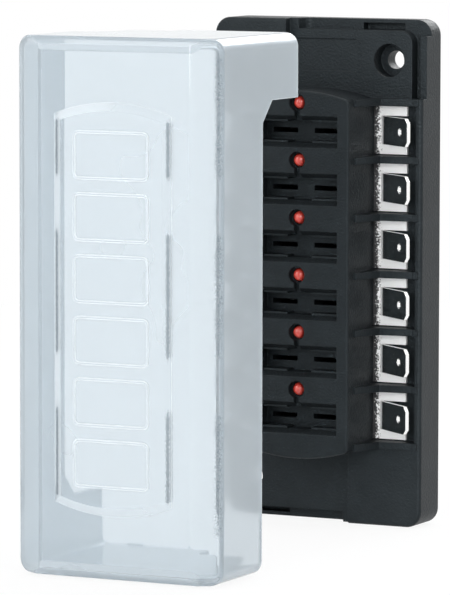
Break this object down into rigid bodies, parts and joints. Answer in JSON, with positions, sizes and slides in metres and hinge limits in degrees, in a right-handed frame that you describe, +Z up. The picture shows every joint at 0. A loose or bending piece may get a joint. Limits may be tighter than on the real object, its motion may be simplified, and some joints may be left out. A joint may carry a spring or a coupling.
{
  "type": "fuse block",
  "caption": "Blade fuse block with blown-fuse lamps, push-on tab terminals on both sides and a clear lift-off cover.",
  "frame": {"origin": "centre of the flat back face that goes against the wall", "axes": "+Z up along the row of circuits, +Y out of the back into the wall, -Y out of the front, +X to the right seen from the front"},
  "size_m": [0.052, 0.1117, 0.115],
  "materials": {
    "black_moulding": "fine spark-eroded texture",
    "clear_moulding": "clear, polished",
    "tinned_metal": "bright tin plate on brass",
    "red_lamp": "dark red tinted, glossy",
    "resistor_coat": "lacquered",
    "plated_screw": "zinc plate"
  },
  "bodies": {
    "base": {"base_housing": "black_moulding", "back_plate": "black_moulding", "back_plate_screws": "plated_screw", "terminal_right_1": "tinned_metal", "terminal_left_1": "tinned_metal", "lamp_1": "red_lamp", "resistor_1": "resistor_coat", "terminal_right_2": "tinned_metal", "terminal_left_2": "tinned_metal", "lamp_2": "red_lamp", "resistor_2": "resistor_coat", "terminal_right_3": "tinned_metal", "terminal_left_3": "tinned_metal", "lamp_3": "red_lamp", "resistor_3": "resistor_coat", "terminal_right_4": "tinned_metal", "terminal_left_4": "tinned_metal", "lamp_4": "red_lamp", "resistor_4": "resistor_coat", "terminal_right_5": "tinned_metal", "terminal_left_5": "tinned_metal", "lamp_5": "red_lamp", "resistor_5": "resistor_coat", "terminal_right_6": "tinned_metal", "terminal_left_6": "tinned_metal", "lamp_6": "red_lamp", "resistor_6": "resistor_coat"},
    "cover": {"clear_cover": "clear_moulding"}
  },
  "joints": [
    {"name": "cover_close", "type": "slide", "parent": "base", "child": "cover", "axis": [0, 1, 0], "range_m": [0, 0.0663]}
  ]
}
